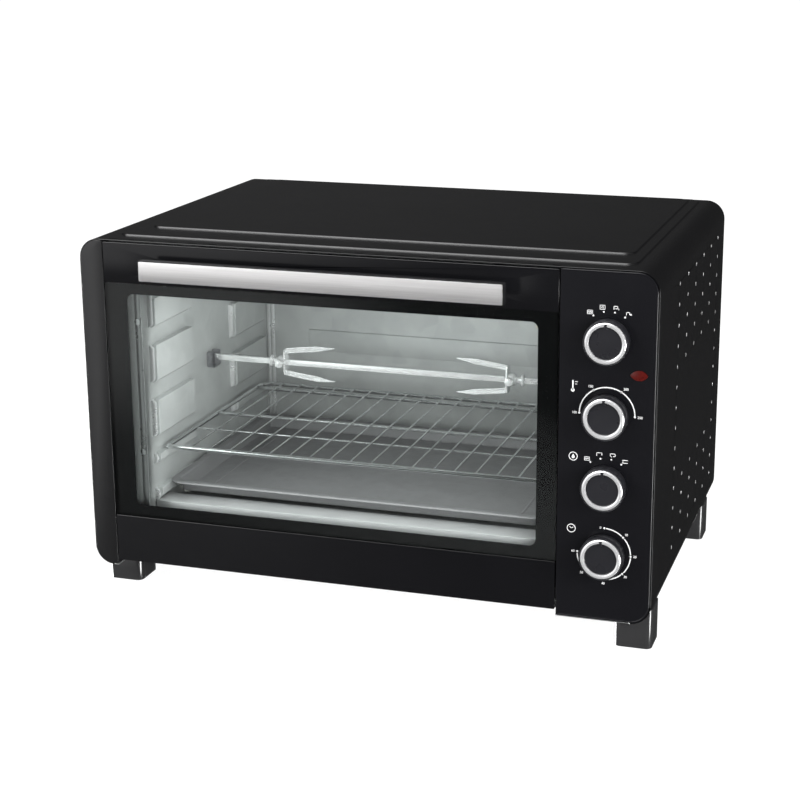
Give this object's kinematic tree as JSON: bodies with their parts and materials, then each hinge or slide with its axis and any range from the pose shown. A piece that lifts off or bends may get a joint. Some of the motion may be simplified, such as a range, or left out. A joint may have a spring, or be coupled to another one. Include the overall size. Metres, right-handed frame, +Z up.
{
  "type": "rotisserie oven",
  "caption": "Countertop electric oven with a drop-down glass door, rotating spit with forks, wire rack, baking tray, crumb tray, fan, and a column of knobs at the right.",
  "frame": {"origin": "on the surface the feet stand on, at the centre of the whole object's footprint (handle front to shell rear edge)", "axes": "+X to the viewer's right when facing the door, along the spit; +Y from the door towards the rear panel; +Z up"},
  "size_m": [0.578, 0.426, 0.3694],
  "materials": {
    "black_paint": "deep gloss black paint",
    "black_plastic": "glossy black moulding",
    "galvanised_sheet": "galvanised sheet, dull grey",
    "steel_facing": "brushed along its length",
    "bright_wire": "bright plated",
    "chrome_ring": "polished",
    "door_glass": "clear, with a black printed border",
    "tray_enamel": "dark grey non-stick enamel",
    "heater_tube": "dull sheathed tube",
    "ceramic": "unglazed",
    "drive_metal": "plain",
    "control_body": "plain moulding",
    "lamp_red": "clear red lens",
    "spring_steel": "drawn wire"
  },
  "bodies": {
    "housing": {"outer_shell": "black_paint", "base_plate": "galvanised_sheet", "rear_panel": "black_paint", "front_pillar": "black_paint", "control_panel": "black_paint", "front_frame": "galvanised_sheet", "cavity_left_wall": "galvanised_sheet", "cavity_right_wall": "galvanised_sheet", "cavity_rear_wall": "galvanised_sheet", "cavity_top": "galvanised_sheet", "cavity_floor": "galvanised_sheet", "upper_heating_elements": "heater_tube", "lower_heating_elements": "heater_tube", "element_insulators": "ceramic", "spit_support_bracket": "galvanised_sheet", "rotisserie_motor": "drive_metal", "fan_cover": "galvanised_sheet", "fan_motor": "drive_metal", "mode_switch": "control_body", "thermostat": "control_body", "heater_switch": "control_body", "timer": "control_body", "indicator_lamp": "lamp_red", "hinge_brackets": "galvanised_sheet", "door_springs": "spring_steel", "foot_front_left": "black_plastic", "foot_front_right": "black_plastic", "foot_rear_left": "black_plastic", "foot_rear_right": "black_plastic", "housing_screws": "bright_wire", "cord_gland": "black_plastic", "terminal_block": "ceramic"},
    "door": {"door_top_rail": "black_paint", "door_bottom_rail": "black_paint", "door_side_stiles": "black_paint", "door_glass": "door_glass", "door_hinge_bushes": "black_plastic", "door_check_arms": "galvanised_sheet", "handle_core": "black_plastic", "handle_facing": "steel_facing", "handle_screws": "bright_wire"},
    "rack": {"wire_rack": "bright_wire"},
    "tray": {"baking_tray": "tray_enamel"},
    "crumb_drawer": {"crumb_tray": "galvanised_sheet"},
    "spit": {"spit_rod": "bright_wire", "spit_drive_socket": "bright_wire"},
    "left_fork": {"fork_left": "bright_wire", "fork_left_screw": "bright_wire"},
    "right_fork": {"fork_right": "bright_wire", "fork_right_screw": "bright_wire"},
    "fan": {"convection_fan": "drive_metal"},
    "mode_control": {"mode_knob": "black_plastic", "mode_knob_ring": "chrome_ring"},
    "thermostat_control": {"thermostat_knob": "black_plastic", "thermostat_knob_ring": "chrome_ring"},
    "heater_control": {"heater_knob": "black_plastic", "heater_knob_ring": "chrome_ring"},
    "timer_control": {"timer_knob": "black_plastic", "timer_knob_ring": "chrome_ring"}
  },
  "joints": [
    {"name": "door_hinge", "type": "hinge", "parent": "housing", "child": "door", "pos_m": [-0.0335, -0.181, 0.039], "axis": [1, 0, 0], "range_deg": [0, 85], "stiffness_Nm_per_rad": 1, "springref_deg": -22.92},
    {"name": "rack_slide", "type": "slide", "parent": "housing", "child": "rack", "axis": [0, -1, 0], "range_m": [0, 0.194]},
    {"name": "tray_slide", "type": "slide", "parent": "housing", "child": "tray", "axis": [0, -1, 0], "range_m": [0, 0.149]},
    {"name": "crumb_tray_slide", "type": "slide", "parent": "housing", "child": "crumb_drawer", "axis": [0, -1, 0], "range_m": [0, 0.06]},
    {"name": "spit_turn", "type": "hinge", "parent": "housing", "child": "spit", "pos_m": [-0.026, -0.015, 0.209], "axis": [1, 0, 0], "continuous": true},
    {"name": "left_fork_slide", "type": "slide", "parent": "spit", "child": "left_fork", "axis": [1, 0, 0], "range_m": [-0.058, 0.06]},
    {"name": "right_fork_slide", "type": "slide", "parent": "spit", "child": "right_fork", "axis": [1, 0, 0], "range_m": [-0.06, 0.045]},
    {"name": "fan_turn", "type": "hinge", "parent": "housing", "child": "fan", "pos_m": [0.211, -0.015, 0.277], "axis": [1, 0, 0], "continuous": true},
    {"name": "mode_turn", "type": "hinge", "parent": "housing", "child": "mode_control", "pos_m": [0.243, -0.204, 0.302], "axis": [0, 1, 0], "range_deg": [-33.75, 33.75]},
    {"name": "thermostat_turn", "type": "hinge", "parent": "housing", "child": "thermostat_control", "pos_m": [0.243, -0.204, 0.231], "axis": [0, 1, 0], "range_deg": [-90, 90]},
    {"name": "heater_turn", "type": "hinge", "parent": "housing", "child": "heater_control", "pos_m": [0.243, -0.204, 0.1625], "axis": [0, 1, 0], "range_deg": [-33.75, 33.75]},
    {"name": "timer_turn", "type": "hinge", "parent": "housing", "child": "timer_control", "pos_m": [0.243, -0.204, 0.095], "axis": [0, 1, 0], "range_deg": [0, 270]}
  ],
  "couplings": [
    {"joint": "rack_slide", "follows": "door_hinge", "m_per_rad": 0.13},
    {"joint": "tray_slide", "follows": "door_hinge", "m_per_rad": 0.1},
    {"joint": "crumb_tray_slide", "follows": "door_hinge", "m_per_rad": 0.04}
  ]
}
